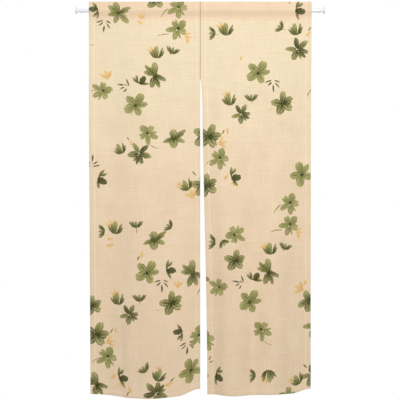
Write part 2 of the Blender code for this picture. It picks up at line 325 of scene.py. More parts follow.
motifs = {
    "stem": motif_of(((0, 0, 0, 40, 2.4, 0.8, 0.25, 9, 0.2, 0.4),), light=TWIG, dark=TWIG_DARK),
    "twig": motif_of(((0, 0, 0, 19, 2, 0.8, 0.25, 2, 0.4, 0.4),), light=TWIG, dark=TWIG_DARK),
    "thread": motif_of((
        (0, 0, 0, 46, 1.3, 0.8, 0.25, -4, 0.1, 0.3),
        (14, -1, 14, 30, 1, 0.8, 0.3, 3, 0.1, 0.2),
    ), light=OCHRE, dark=TWIG),
    "yellow_sprig": motif_of((
        (1, -20, 86, 35, 6.4, 1.25, 0.5, 0, 0.15, 0.4),
        (0, -18, 118, 32, 5.6, 1.3, 0.5, 3, 0.08, 0.4),
        (2, -16, 52, 30, 5.8, 1.3, 0.5, -2, 0.15, 0.4),
    ), light=OCHRE, dark=OCHRE_DEEP),
    "yellow_stack": motif_of((
        (-13, 13, 8, 28, 5.8, 1.1, 0.45, 0, 0.08, 0.4),
        (-11, 5, -8, 27, 5.8, 1.1, 0.45, 0, 0.15, 0.4),
        (-8, -2, -26, 20, 5.4, 1.1, 0.45, 1, 0.08, 0.4),
        (-4, -7, -60, 17, 5.2, 1.1, 0.45, 0, 0.15, 0.4),
    ), light=OCHRE, dark=OCHRE_DEEP),
    "yellow_stroke": motif_of((
        (-10.5, 0, 0, 22, 5, 1.1, 0.5, 1.5, 0.15, 0.3),
        (-9, -1.5, -22, 13, 2.2, 1.1, 0.9, 0, 0.05, 0.2),
    ), light=OCHRE, dark=OCHRE_DEEP),
    "leaf": motif_of(((-11, 0, 0, 23, 3.8, 1, 0.9, 1.5, 0.35, 0.5),), dark=TWIG_DARK),
    "leaf_sprig": motif_of((
        (-3, 11, 188, 26, 3.3, 0.9, 0.65, 4, 0.6, 0.3),
        (5, 10, -18, 22, 3.3, 0.9, 0.65, -3, 0.6, 0.3),
        (-3, 4, 210, 22, 3.3, 0.9, 0.65, 2, 0.6, 0.3),
        (6, 3, -50, 25, 3.4, 1, 0.65, -2, 0.55, 0.4),
        (0, -4, -94, 27, 4.2, 1.1, 0.7, 0, 0.5, 0.5),
    )),
    "leaf_spray": motif_of((
        (3, -1, 165, 31, 4, 1, 0.65, 3, 0.5, 0.3),
        (19, -4, 105, 31, 4, 1, 0.65, 3, 0.55, 0.3),
        (3, -7, 196, 20, 3.6, 1, 0.65, 2, 0.5, 0.4),
        (10, -12, 237, 19, 3.6, 1, 0.65, -2, 0.55, 0.3),
        (12, -4, 135, 14, 3, 0.9, 0.65, 0, 0.6, 0.3),
    )),
    "broad_flower": motif_of((
        (-12, -1, 0, 30, 12, 1, 0.5, 0, 0, 0.1),
        (2, 0, 178, 47, 12.5, 1.1, 0.51, 1, 0.02, 0.16),
        (0, -1, -112, 42, 12.5, 1.3, 0.48, -1, 0.02, 0.16),
        (4, -3, -84, 36, 5, 1.2, 0.53, 0, 0.08, 0.2),
        (0, 2, 122, 34, 8.5, 1.4, 0.46, -2, 0.03, 0.2),
        (2, 3, 97, 34, 7.5, 1.5, 0.46, 0, 0.03, 0.2),
        (3, 0, -30, 37, 14.5, 1.35, 0.46, 0, 0, 0.18),
        (3, 2, 38, 41, 17, 1.45, 0.5, 0, 0, 0.18),
    ), ((-2, -4, 3, "cloth"), (5, 3, 5.8, "eye"))),
    "round_flower": motif_of((
        (-12, -2, 0, 30, 12, 1, 0.5, 0, 0.02, 0.1),
        (0, 1, 144, 45, 17, 1.35, 0.43, -3, 0.02, 0.26),
        (2, -4, 204, 50, 19.5, 1.35, 0.42, 2, 0.02, 0.24),
        (2, -3, -70, 42, 16.5, 1.35, 0.42, 0, 0.04, 0.26),
        (0, -3, 2, 46, 13, 1.25, 0.47, 2, 0.05, 0.26),
        (1, 0, 58, 48, 18, 1.35, 0.43, -2, 0, 0.3),
    ), ((0, -4, 6.4, "eye"),)),
    "pointed_flower": motif_of((
        (-18, 2, 0, 32, 12, 1, 0.5, 0, 0.1, 0.1),
        (2, 0, 190, 44, 12, 1.05, 0.66, 2, 0.05, 0.42),
        (2, 0, 150, 51, 14, 1.05, 0.66, -3, 0.05, 0.42),
        (0, 0, 106, 46, 14.5, 1.1, 0.6, 3, 0.04, 0.45),
        (0, 0, -112, 44, 11.5, 1.1, 0.62, 2, 0.05, 0.55),
        (1, 0, -44, 56, 13.5, 1.1, 0.62, -3, 0.02, 0.62),
        (2, 1, 18, 49, 13, 1.1, 0.64, 3, 0.04, 0.5),
    ), ((4, -1, 4.8, "eye"), (-4, -1, 3, "eye"))),
    "ribbed_flower": motif_of((
        (-12, 0, 0, 24, 11, 1, 0.5, 0, 0.35, 0.1),
        (3, -1, 172, 50, 17, 1.2, 0.5, 3, 0.05, 0.72),
        (0, 1, -108, 47, 18.5, 1.2, 0.46, -3, 0.16, 0.72),
        (0, 0, -32, 46, 16.5, 1.2, 0.5, 2, 0.04, 0.75),
        (0, -1, 28, 46, 16.5, 1.2, 0.5, 2, 0.04, 0.75),
        (0, -2, 90, 50, 14.5, 1.25, 0.48, -2, 0.04, 0.75),
    ), ((0, -1, 5.6, "eye"),)),
    "striped_flower": motif_of((
        (-9, 0, 0, 24, 11, 1, 0.5, 0, 0.45, 0.1),
        (0, 2, 166, 45, 9.5, 1.1, 0.58, -2, 0.12, 0.6),
        (0, 3, 140, 49, 11.5, 1.15, 0.56, -2, 0.12, 0.6),
        (0, 1, -110, 48, 13.5, 1.1, 0.56, 2, 0.18, 0.8),
        (1, 1, -70, 48, 10.5, 1.05, 0.6, -2, 0.24, 0.8),
        (2, 0, -20, 45, 9.5, 1, 0.65, -4, 0.3, 0.7),
        (0, 0, 92, 50, 14, 1.25, 0.49, 2, 0.06, 0.5),
    ), ((1, -2, 5.6, "eye"),)),
    "shaded_flower": motif_of((
        (-2, 0, 176, 46, 11.5, 1.05, 0.58, 1, 0.05, 0.35),
        (0, 0, -116, 46, 14, 1.15, 0.53, 2, 0.16, 0.72),
        (2, 2, 45, 48, 13, 1.2, 0.51, -3, 0.1, 0.55),
        (0, 1, 102, 47, 11.5, 1.1, 0.56, -2, 0.55, 0.5),
        (3, -1, -74, 36, 7, 1.05, 0.58, 0, 0.2, 0.6),
        (3, -1, -50, 41, 9, 1, 0.58, 2, 0.55, 0.55),
        (3, 0, -18, 43, 11, 1, 0.6, 3, 0.45, 0.65),
    ), ((-3, 0, 3, "cloth"), (4, -7, 2.4, "cloth"))),
    "lily_flower": motif_of((
        (-8, 10, 140, 18, 2.6, 0.9, 0.6, 0, 0.8, 0.3),
        (-6, 12, 116, 18, 2.6, 0.9, 0.6, 0, 0.8, 0.3),
        (2, -3, 190, 47, 11, 0.95, 0.66, 4, 0.1, 0.6),
        (0, -2, -12, 45, 11, 1.05, 0.63, -4, 0.06, 0.55),
        (0, 0, 30, 55, 12, 1.05, 0.63, 4, 0.06, 0.6),
        (-1, 8, -94, 46, 18.5, 1.35, 0.45, 2, 0.04, 0.6),
        (-1, -12, 92, 46, 16.5, 1.25, 0.42, 0, 0.06, 0.6),
        (-4, -12, 94, 28, 2.4, 1, 0.6, 0, 0.85, 0.2),
        (3, -12, 86, 28, 2.4, 1, 0.6, 0, 0.85, 0.2),
    )),
    "cup_bud": motif_of((
        (-1, -22, 156, 35, 6.8, 1.1, 0.5, -11, 0.32, 0.45),
        (3, -22, 28, 34, 6.8, 1.1, 0.5, 11, 0.32, 0.45),
        (-1, -23, 123, 37, 6.8, 1.2, 0.52, -4, 0.2, 0.55),
        (6, -23, 64, 46, 5.6, 1.25, 0.55, 4, 0.26, 0.6),
        (0, -23, 94, 46, 10.5, 1.35, 0.46, 0, 0.04, 0.6),
        (-14, -18, -6, 30, 6.6, 1, 0.5, 3, 0.55, 0.1),
    )),
    "small_bud": motif_of((
        (0, -15, 158, 34, 6, 1.1, 0.5, -10, 0.34, 0.45),
        (0, -15, 24, 35, 6.2, 1.1, 0.5, 10, 0.3, 0.45),
        (-2, -16, 124, 29, 5.6, 1.2, 0.52, -1, 0.22, 0.55),
        (3, -16, 56, 31, 5.6, 1.2, 0.52, 1, 0.24, 0.55),
        (0, -16, 90, 26, 6.4, 1.3, 0.48, 0, 0.1, 0.6),
        (-13, -12, -6, 27, 5.8, 1, 0.5, 3, 0.55, 0.2),
    )),
    "dark_bud": motif_of((
        (-10, 0, 90, 36, 6.2, 1.1, 0.5, -6, 0.3, 0.5),
        (-11, 6, -76, 43, 6.8, 1.05, 0.5, 6, 0.3, 0.6),
        (-6, 10, 46, 24, 5.8, 1.1, 0.52, 0, 0.12, 0.4),
        (-10, -3, -4, 33, 13.5, 1, 0.45, 0, 0.82, 0.18),
    )),
}


def turned_back(x, y, degrees):
    """A point's place along and beside a line that is turned by so many degrees."""
    turn = radians(degrees)
    return x * cos(turn) + y * sin(turn), y * cos(turn) - x * sin(turn)


def covers(kind, x, y, margin):
    """Whether any petal of the motif comes within the margin of this point."""
    for petal in motifs[kind].petals:
        along, sideways = turned_back(x - petal.x, y - petal.y, petal.turn)
        bowed = petal.bend * min(1.0, max(0.0, along / petal.length)) ** 2
        if -margin <= along <= petal.length + margin and abs(sideways - bowed) <= petal.width + margin:
            return True
    return False


def ink_motif(kind, under, place):
    """Lays one motif's petals over what is under them, the first petal lowest."""
    motif = motifs[kind]
    for petal in motif.petals:
        under = add(
            "Group", under, motif.light, motif.dark, place, (petal.x, petal.y, 0.0),
            radians(petal.turn), *petal[3:], node_tree=brush,
        )
    for spot in motif.spots:
        away = vector_maths("SUBTRACT", place, (spot.x, spot.y, 0.0))
        measured = vector_maths("LENGTH", away).node.outputs["Value"]
        inside = fade(measured, spot.size, spot.size - PETAL_EDGE * 2)
        under = blend(inside, under, EYE if spot.ink == "eye" else LINEN_ROSY_LIGHT)
    return under


def new_finish(name, **values):
    """A new material, its tree and its shader, with these values on the shader's sockets."""
    finish = bpy.data.materials.new(name)
    finish.use_nodes = True
    shader = finish.node_tree.nodes["Principled BSDF"]
    for socket, value in values.items():
        shader.inputs[socket.replace("_", " ")].default_value = value
    return finish, finish.node_tree, shader


def emboss(shader, height, strength, distance):
    """Raises the surface by a pattern, whose full height is the distance in metres."""
    bump = add("Bump", strength, distance, tree=shader.id_data).node
    fill(bump.inputs["Height"], height)
    fill(shader.inputs["Normal"], bump.outputs["Normal"])


def printed_cloth(name, kinds, wrong_side):
    """The cloth's material where these motifs lie over each other, on either side of it."""
    finish, tree, shader = new_finish(name, Roughness=0.92, Specular_IOR_Level=0.15, Sheen_Weight=0.08)
    paleness = BACK_PALENESS if wrong_side else 0.0
    woven = add("Group", paleness, tree=tree, node_tree=weave).node.outputs
    seen = woven["Colour"]
    if kinds:
        shaken = noise(woven["Place"], WOBBLE_GRAIN, 3.0, 0.6).node
        wobble = vector_maths("SUBTRACT", shaken.outputs["Color"], (0.5, 0.5, 0.5))
        wobble = vector_maths("MULTIPLY", wobble, (2 * HAND_WOBBLE, 2 * HAND_WOBBLE, 0.0))
        inked = seen
        for layer, kind in enumerate(kinds, 1):
            own = add("UVMap", tree=tree, uv_map="print_%d" % layer)
            inked = ink_motif(kind, inked, vector_maths("ADD", own, wobble))
        taken = scaled(woven["Threads"], *INK_ON_THREADS, use_clamp=True)
        if wrong_side:
            taken = times(taken, SHOW_THROUGH)
        seen = blend(taken, seen, inked)
    fill(shader.inputs["Base Color"], seen)
    emboss(shader, woven["Height"], strength=0.35, distance=0.0003)
    return finish


# Where each motif lies on the flat cloth before it is hung: millimetres across both panels and
# down from the top fold, its turn in degrees and its size. One above the top fold is on the
# flap behind the rod. The last word names the panel in which it comes again, half a drop lower.
Place = namedtuple("Place", "kind across down turn size again", defaults=("",))
HALF_DROPS = {"right": (425, 749), "left": (-425, 756)}
chart = {
    "stem": (
        (303, 30, 217, 1.1, "right"), (306, 127, 176, 1.1, "right"), (236, 550, -38, 0.8, "right"),
        (462, 606, 200, 0.9, "left"),
    ),
    "twig": (
        (316, 194, 240, 0.9, "right"), (26, 343, 176, 1), (166, 424, 240, 0.8, "right"),
        (4, 169, 0, 0.9), (180, 864, -92, 1.1), (425, 1111, 236, 1.4), (482, 129, -10, 0.8),
        (738, 108, -20, 0.8), (618, 372, -96, 1.1, "left"), (849, 341, 234, 1.5),
    ),
    "thread": ((712, 410, 196, 1, "left"),),
    "yellow_sprig": (
        (122, -46, 160, 0.7), (765, -54, 60, 0.7), (199, 55, 0, 0.85),
        (237, 186, 26, 0.85, "right"), (64, 281, 24, 1.15), (340, 702, 60, 0.7, "right"),
        (389, 737, 26, 1.25), (337, 1076, 0, 0.9), (264, 1388, 0, 0.6), (503, 93, 24, 0.95, "left"),
        (519, 356, 16, 0.85, "left"), (503, 540, -70, 1.05, "left"), (547, 703, 160, 0.7, "left"),
        (799, 1103, 60, 1.3), (659, 1448, 150, 0.75),
    ),
    "yellow_stack": ((376, 141, 0, 1, "right"),),
    "yellow_stroke": (
        (229, -61, 30, 1.1), (195, 82, -42, 1.1), (161, 542, 82, 1), (201, 964, 78, 1.3),
        (78, 908, 4, 1), (76, 932, 8, 1.3), (303, 1453, 10, 1.5), (153, 1470, 100, 1.3),
        (837, 127, 38, 1.1), (581, 219, 70, 0.9), (522, 498, 96, 1.1, "left"),
        (514, 674, 40, 1.3, "left"), (828, 1086, 60, 1.2),
    ),
    "leaf": (
        (104, -62, 40, 0.9), (149, 526, -62, 0.9), (402, 662, -52, 1.1, "right"),
        (188, 977, 60, 1), (316, 1438, 32, 1.1), (146, 1487, 60, 1.1), (843, 108, 52, 1),
        (767, 5, 50, 0.7), (506, 502, 58, 1, "left"), (436, 1364, 62, 0.9), (441, 1378, 24, 0.9),
    ),
    "leaf_sprig": (
        (58, 87, 0, 1.12), (11, 620, 176, 1.1), (375, 1320, 0, 1.18), (702, 316, 4, 1.12, "left"),
    ),
    "leaf_spray": ((134, 322, 0, 1, "right"),),
    "broad_flower": (
        (628, -70, 40, 0.95), (339, 27, 30, 1, "right"), (337, 108, 6, 1, "right"),
        (48, 343, -30, 0.95, "right"), (226, 509, 92, 0.95, "right"), (419, 1297, 50, 1),
        (488, 604, 30, 1, "left"), (549, 892, 150, 0.95),
    ),
    "round_flower": (
        (386, -78, 50, 0.9), (178, 395, 0, 1, "right"), (646, 272, 0, 1, "left"),
        (811, 663, 50, 1, "left"), (752, 1512, 20, 0.8),
    ),
    "pointed_flower": ((113, 45, 0, 1),),
    "ribbed_flower": (
        (12, -52, 0, 0.8), (254, -7, -18, 0.9), (8, 1165, 0, 0.85), (738, 393, 0, 1, "left"),
        (446, 518, -25, 1.12, "left"), (435, 706, 0, 1.02), (544, 990, -12, 0.93),
        (841, 1158, 20, 0.95),
    ),
    "striped_flower": ((253, 286, 0, 1.05, "right"), (396, 1048, 0, 1.1), (24, 1464, 10, 1)),
    "shaded_flower": (
        (191, 582, -58, 0.98), (254, 1484, 90, 1.05), (797, 186, 0, 1),
        (576, 434, 20, 0.85, "left"), (870, 1258, 0, 1.1), (856, 1452, 0, 1),
    ),
    "lily_flower": ((325, 524, 0, 1), (249, 908, 0, 1)),
    "cup_bud": (
        (795, -52, 26, 0.85), (260, 196, 0, 1, "right"), (370, 703, 26, 0.95, "right"),
        (117, 563, 24, 0.9), (266, 1415, -26, 1), (524, 107, -8, 1.05, "left"),
        (789, 107, 8, 1), (530, 376, 0, 1, "left"), (677, 1432, 180, 1.05),
    ),
    "small_bud": (
        (166, -50, 20, 0.95), (548, -44, 0, 0.9), (321, 186, -18, 1, "right"), (179, 846, 0, 1),
        (207, 1388, 40, 1), (467, 124, 88, 0.95, "left"), (727, 99, 56, 0.9, "left"),
        (616, 366, 0, 1, "left"), (502, 927, 212, 0.9), (449, 920, 80, 1.05), (609, 1428, 88, 0.95),
    ),
    "dark_bud": (
        (464, -50, -24, 0.9), (23, 35, 188, 0.98), (199, 306, 62, 1, "right"),
        (46, 681, -24, 1.1, "right"), (307, 1021, 0, 1.05), (343, 1263, 184, 1),
        (802, 34, -10, 1.08), (547, 672, 10, 1.1, "left"),
    ),
}
placed = []
for kind in motifs:
    drawn = [Place(kind, *where) for where in chart[kind]]
    placed += drawn
    for first in drawn:
        if first.again:
            sideways, lower = HALF_DROPS[first.again]
            placed.append(first._replace(across=first.across + sideways, down=first.down + lower))

# Cloth panels
# Two lengths of the cloth, hemmed down both sides and along the bottom. Their tops are turned
# to the back and stitched twice, which leaves a header above the pocket for the rod. They are
# joined edge to edge for the first 300 mm and hang free below.
PANEL_WIDTH = 0.425
DROP = 1.500
HEADER_TOP = 0.034
UPPER_STITCH = 0.010
LOWER_STITCH = 0.025
FLAP_BELOW_STITCH = 0.014
HANG = DROP - HEADER_TOP - LOWER_STITCH
SIDE_HEM = 0.019
BOTTOM_HEM = 0.014
HEM_STEP = 0.0015
CLOTH_WALL = 0.0007
HEM_WALL = 0.0015
EDGE_WALL = 0.0003
LAYER_GAP = 0.0005
CLOTH_FACE = LAYER_GAP / 2 + 0.0011
HEM_FACE = LAYER_GAP / 2 + 0.0019
ROD_ROOM = 0.00645
SLIT_HEAD = 0.240
SLIT_EASE = 0.0068
SLIT_EASE_LENGTH = 0.080
SEAM_GAP = 0.00004
PUCKER_DEPTH = 0.00022
PUCKER_REACH = 0.009
SLOW_RIPPLE = 0.0011
QUICK_RIPPLE = 0.0006
RIPPLE_LENGTH = 0.3
MESH_STEP = 0.0055
EDGE_ROLL = 0.0013
EDGE_ROLL_STEPS = 4
ROUND_STEPS = 12
FOLD_STEPS = 6

# A fold runs down at its place across the panel, spreads so far to each side, stands forward at
# the hem and starts so far below the pocket. A lift raises the bottom hem in the same way.
Fold = namedtuple("Fold", "across spread forward starts")
Lift = namedtuple("Lift", "across spread rise")
Panel = namedtuple("Panel", "side left_edge print_from slit_share folds lifts")

panels = (
    Panel(
        side="left",
        left_edge=-PANEL_WIDTH - SEAM_GAP / 2,
        print_from=0.0,
        slit_share=0.0,
        folds=(
            Fold(0.000, 0.090, 0.004, 0.10),
            Fold(0.085, 0.075, -0.007, 0.20),
            Fold(0.240, 0.200, 0.016, 0.00),
            Fold(0.425, 0.090, -0.012, SLIT_HEAD),
            Fold(0.122, 0.020, -0.0022, 0.95),
            Fold(0.186, 0.022, -0.0018, 1.10),
        ),
        lifts=(
            Lift(0.000, 0.060, 0.002),
            Lift(0.120, 0.080, -0.002),
            Lift(0.215, 0.230, -0.013),
            Lift(0.425, 0.090, 0.018),
        ),
    ),
    Panel(
        side="right",
        left_edge=SEAM_GAP / 2,
        print_from=PANEL_WIDTH,
        slit_share=1.0,
        folds=(
            Fold(0.000, 0.080, -0.010, SLIT_HEAD),
            Fold(0.110, 0.100, 0.027, 0.00),
            Fold(0.270, 0.100, 0.025, 0.00),
            Fold(0.425, 0.085, -0.012, 0.10),
        ),
        lifts=(
            Lift(0.000, 0.080, -0.004),
            Lift(0.190, 0.060, -0.002),
            Lift(0.290, 0.120, 0.005),
            Lift(0.425, 0.085, 0.018),
        ),
    ),
)


def hump(offset, spread):
    """One at the fold's line, falling smoothly to nothing at its spread."""
    return cos(pi / 2 * min(1.0, abs(offset) / spread)) ** 2


def growth(below, starts):
    """A fold opens from nothing where it starts to its full depth at the hem."""
    return sin(pi / 2 * max(0.0, (below - starts) / (HANG - starts)))


def fold_depth(folds, across, below):
    return sum(
        fold.forward * hump(across - fold.across, fold.spread) * growth(below, fold.starts)
        for fold in folds
    )


def rise(lifts, across, below):
    lifted = sum(lift.rise * hump(across - lift.across, lift.spread) for lift in lifts)
    return lifted * (below / HANG) ** 2


def even_steps(start, end, step):
    count = round((end - start) / step)
    return [start + (end - start) * index / count for index in range(count + 1)]


rolled = [EDGE_ROLL * (1 - cos(pi / 2 * step / EDGE_ROLL_STEPS)) for step in range(EDGE_ROLL_STEPS + 1)]
side_columns = rolled + even_steps(EDGE_ROLL, SIDE_HEM, MESH_STEP)[1:]
columns = list(side_columns)
columns += even_steps(SIDE_HEM + HEM_STEP, PANEL_WIDTH - SIDE_HEM - HEM_STEP, MESH_STEP)
columns += [PANEL_WIDTH - away for away in reversed(side_columns)]
hanging = even_steps(0.0, HANG - BOTTOM_HEM - HEM_STEP, MESH_STEP)[1:]
hanging += even_steps(HANG - BOTTOM_HEM, HANG - EDGE_ROLL, MESH_STEP)[:-1]
hanging += [HANG - away for away in reversed(rolled)]


def edge_roll(away):
    """How far the face falls back where the cloth turns over an edge this far away."""
    turned = max(0.0, 1 - away / EDGE_ROLL)
    return (HEM_WALL - EDGE_WALL) * (0.5 * turned + 0.5 * (1 - (1 - turned**2) ** 0.5))


def is_hem(across, below=0.0):
    from_side = min(across, PANEL_WIDTH - across)
    return from_side <= SIDE_HEM + 1e-6 or below >= HANG - BOTTOM_HEM - 1e-6


def wall_at(across, below=0.0):
    """The cloth's thickness: hems are three layers of it, pressed flat, and round at their edge."""
    if not is_hem(across, below):
        return CLOTH_WALL
    return HEM_WALL - edge_roll(min(across, PANEL_WIDTH - across)) - edge_roll(HANG - below)


def face_out(across, below=0.0):
    """How far the right side of the cloth stands out from the middle of the heading's layers."""
    out = HEM_FACE if is_hem(across, below) else CLOTH_FACE
    return out - edge_roll(min(across, PANEL_WIDTH - across)) - edge_roll(HANG - below)


def pucker(across, from_stitches):
    """Slight drawing-in of the cloth next to a line of stitches."""
    wave = sin(across * 430 + 2.2 * sin(across * 83)) + 0.6 * sin(across * 247 + 1.0)
    return PUCKER_DEPTH * wave * exp(-abs(from_stitches) / PUCKER_REACH)


def ripple(across, below):
    """The cloth's own slight unevenness, which fades out towards the heading."""
    slow = sin(across * 33 + 1.3 * sin(below * 4.1 + 0.7)) * sin(below * 3.3 + across * 9)
    quick = sin(across * 71 - below * 2.7) * sin(below * 7.9 + across * 17 + 1.9)
    return (SLOW_RIPPLE * slow + QUICK_RIPPLE * quick) * min(1.0, below / RIPPLE_LENGTH)


def heading_half(across):
    """The right side of the cloth as (out, height), from the header's fold down to the lower
    stitching, round the rod on the way."""
    out = face_out(across)
    radius = ROD_ROOM + out
    upper = hypot(out, UPPER_STITCH)
    lower = hypot(out, LOWER_STITCH)
    first = atan2(out, UPPER_STITCH) + acos(radius / upper)
    last = pi - atan2(out, LOWER_STITCH) - acos(radius / lower)
    half = []
    for step in range(FOLD_STEPS + 1):
        turn = pi / 2 * step / FOLD_STEPS
        half.append((out * sin(turn), HEADER_TOP - out + out * cos(turn)))
    for height in even_steps(HEADER_TOP - out, UPPER_STITCH, MESH_STEP)[1:]:
        half.append((out, height))
    for step in range(ROUND_STEPS + 1):
        turn = first + (last - first) * step / ROUND_STEPS
        half.append((radius * sin(turn), radius * cos(turn)))
    half.append((out, -LOWER_STITCH))
    return half


def heading_section(across):
    """The whole heading as (y, z): up the flap behind the rod, over the fold, down the front."""
    half = heading_half(across)
    out = half[-1][0]
    flap_end = -LOWER_STITCH - FLAP_BELOW_STITCH
    behind = [(out, flap_end), (out, (flap_end - LOWER_STITCH) / 2)] + half[:0:-1]
    return [
        (y - pucker(across, z + LOWER_STITCH) - pucker(across + 0.2, z - UPPER_STITCH), z)
        for y, z in behind + [(-y, z) for y, z in half]
    ]


def runs_across(panel, below):
    """How far along X each strip between two columns reaches, once the folds tilt it."""
    depths = [fold_depth(panel.folds, across, below) for across in columns]
    strips = zip(columns, columns[1:], depths, depths[1:])
    return [((far - near) ** 2 - (deep - shallow) ** 2) ** 0.5 for near, far, shallow, deep in strips]


def row_across(panel, below):
    """X of each column: the cloth keeps its own width, and what the folds take up opens the
    slit or draws in the outer edge, by the panel's slit_share."""
    runs = runs_across(panel, below)
    taken = PANEL_WIDTH - sum(runs)
    taken_at_head = PANEL_WIDTH - sum(runs_across(panel, min(below, SLIT_HEAD)))
    opened = min(1.0, max(0.0, (below - SLIT_HEAD) / SLIT_EASE_LENGTH))
    ease = SLIT_EASE * opened**0.35 * panel.slit_share
    at_slit = (taken - taken_at_head) * panel.slit_share + ease
    width = PANEL_WIDTH - taken - ease
    if panel.side == "left":
        start = panel.left_edge + PANEL_WIDTH - at_slit - width
    else:
        start = panel.left_edge + at_slit
    places = [start]
    for run in runs:
        places.append(places[-1] + run * width / sum(runs))
    return places


def hanging_point(panel, across, below, x):
    """A point of the right side below the heading, where x is its place along the rod."""
    forward = fold_depth(panel.folds, across, below) + ripple(across, below)
    y = -face_out(across, below) - forward - pucker(across, below)
    return (x, y, -LOWER_STITCH - below + rise(panel.lifts, across, below))


sections = [heading_section(across) for across in columns]
HEADING_ROWS = len(sections[0])
middle_section = sections[len(columns) // 2]
FOLD_ROW = middle_section.index(max(middle_section, key=lambda point: point[1]))
downs = [0.0]
for near, far in zip(middle_section, middle_section[1:]):
    downs.append(downs[-1] + hypot(far[0] - near[0], far[1] - near[1]))
downs = [down - downs[FOLD_ROW] for down in downs]
downs += [downs[-1] + below for below in hanging]


def in_motif(motif, across, down):
    """Where a place of the flat cloth lies from the motif's middle, in the motif's own size."""
    x, y = turned_back(across - motif.across, motif.down - down, motif.turn)
    return x / motif.size, y / motif.size


def motifs_on(panel):
    """For each face of the panel's grid, as (row, column), the motifs whose ink it carries."""
    across_mm = [(panel.print_from + across) * MILLIMETRES for across in columns]
    down_mm = [down * MILLIMETRES for down in downs]
    found = {}
    for motif in placed:
        petals = motifs[motif.kind].petals
        far = motif.size * (HAND_WOBBLE + max(hypot(petal.x, petal.y) + petal.length for petal in petals))
        first_column = max(1, bisect_left(across_mm, motif.across - far))
        last_column = min(len(columns) - 1, bisect_right(across_mm, motif.across + far))
        first_row = max(1, bisect_left(down_mm, motif.down - far))
        last_row = min(len(downs) - 1, bisect_right(down_mm, motif.down + far))
        for row in range(first_row, last_row + 1):
            upper, lower = down_mm[row - 1], down_mm[row]
            for column in range(first_column, last_column + 1):
                left, right = across_mm[column - 1], across_mm[column]
                half_face = hypot(right - left, lower - upper) / 2
                x, y = in_motif(motif, (right + left) / 2, (lower + upper) / 2)
                if covers(motif.kind, x, y, WOBBLE_MARGIN + half_face / motif.size):
                    found.setdefault((row - 1, column - 1), []).append(motif)
    return found


def finished(work, name):
    """Makes the worked mesh a piece of its own, in its place and smoothly shaded."""
    mesh = bpy.data.meshes.new(name)
    work.to_mesh(mesh)
    work.free()
    mesh.shade_smooth()
    piece = bpy.data.objects.new(name, mesh)
    bpy.context.scene.collection.objects.link(piece)
    return piece


def panel_cloth(panel):
    """One panel with its weave and print laid out flat on it, and its hems' thickness."""
    work = bmesh.new()
    bmesh.ops.create_grid(work, x_segments=len(columns) - 1, y_segments=len(downs) - 1, size=0.5)
    work.verts.ensure_lookup_table()
    walls = []
    for row in range(len(downs)):
        below = 0.0 if row < HEADING_ROWS else hanging[row - HEADING_ROWS]
        places = row_across(panel, below)
        for column, across in enumerate(columns):
            if row < HEADING_ROWS:
                point = (places[column], *sections[column][row])
            else:
                point = hanging_point(panel, across, below, places[column])
            work.verts[row * len(columns) + column].co = point
            walls.append(wall_at(across, below))

    found = motifs_on(panel)
    layers = work.loops.layers.uv
    print_names = ["print_%d" % layer for layer in range(1, PRINT_LAYERS + 1)]
    for name in ("cloth", *print_names):
        layers.new(name)
    cloth_layer = layers["cloth"]
    print_layers = [layers[name] for name in print_names]
    printed = {}
    for face in work.faces:
        corners = [divmod(loop.vert.index, len(columns)) for loop in face.loops]
        on_face = found.get(min(corners), [])[:PRINT_LAYERS]
        kinds = tuple(motif.kind for motif in on_face)
        face.material_index = printed.setdefault(kinds, len(printed))
        for loop, (row, column) in zip(face.loops, corners):
            across = panel.print_from + columns[column]
            loop[cloth_layer].uv = (across, -downs[row])
            for motif, layer in zip(on_face, print_layers):
                loop[layer].uv = in_motif(motif, across * MILLIMETRES, downs[row] * MILLIMETRES)
    bmesh.ops.recalc_face_normals(work, faces=work.faces)
    cloth = finished(work, "cloth_" + panel.side)
    for side in ("right", "wrong"):
        for kinds in printed:
            name = " ".join(("cloth", side, "side", *kinds))
            finish = bpy.data.materials.get(name) or printed_cloth(name, kinds, side == "wrong")
            cloth.data.materials.append(finish)
    thick = cloth.vertex_groups.new(name="thick")
    for index, wall in enumerate(walls):
        thick.add([index], (max(wall, EDGE_WALL) - EDGE_WALL) / (HEM_WALL - EDGE_WALL), "REPLACE")
    thickness = cloth.modifiers.new("cloth thickness", "SOLIDIFY")
    thickness.thickness = HEM_WALL
    thickness.offset = -1.0
    thickness.use_even_offset = True
    thickness.vertex_group = thick.name
    thickness.thickness_vertex_group = EDGE_WALL / HEM_WALL
    thickness.material_offset = len(printed)
    return cloth


cloths = [panel_cloth(panel) for panel in panels]
for panel, cloth in zip(panels, cloths):
    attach(cloth, "root")
    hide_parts("panel_" + panel.side)

# Stitching
# Lockstitch in pale cotton thread, sewn through the cloth: along the inner fold of the side
# and bottom hems, and twice across the heading, over and under the pocket for the rod.
STITCH_LENGTH = 0.0024
STITCH_PITCH = 0.0030
STITCH_WIDTH = 0.0006
STITCH_PROUD = 0.00022
IN_FRONT = -STITCH_PROUD / 3
BEHIND_HEM = HEM_WALL + STITCH_PROUD / 3
SIDE_STITCH = 0.0175
SLIT_STITCH = 0.0150
BOTTOM_STITCH = 0.0125
FROM_TOP = 0.004
FROM_SIDE = 0.003
STITCH_SIDES = 6
STITCH_RINGS = 4
STITCHES_AT_ONCE = 12
THREAD = colour(250, 238, 212)
THREAD_SHADE = colour(226, 206, 172)
TWIST_GRAIN = 900.0


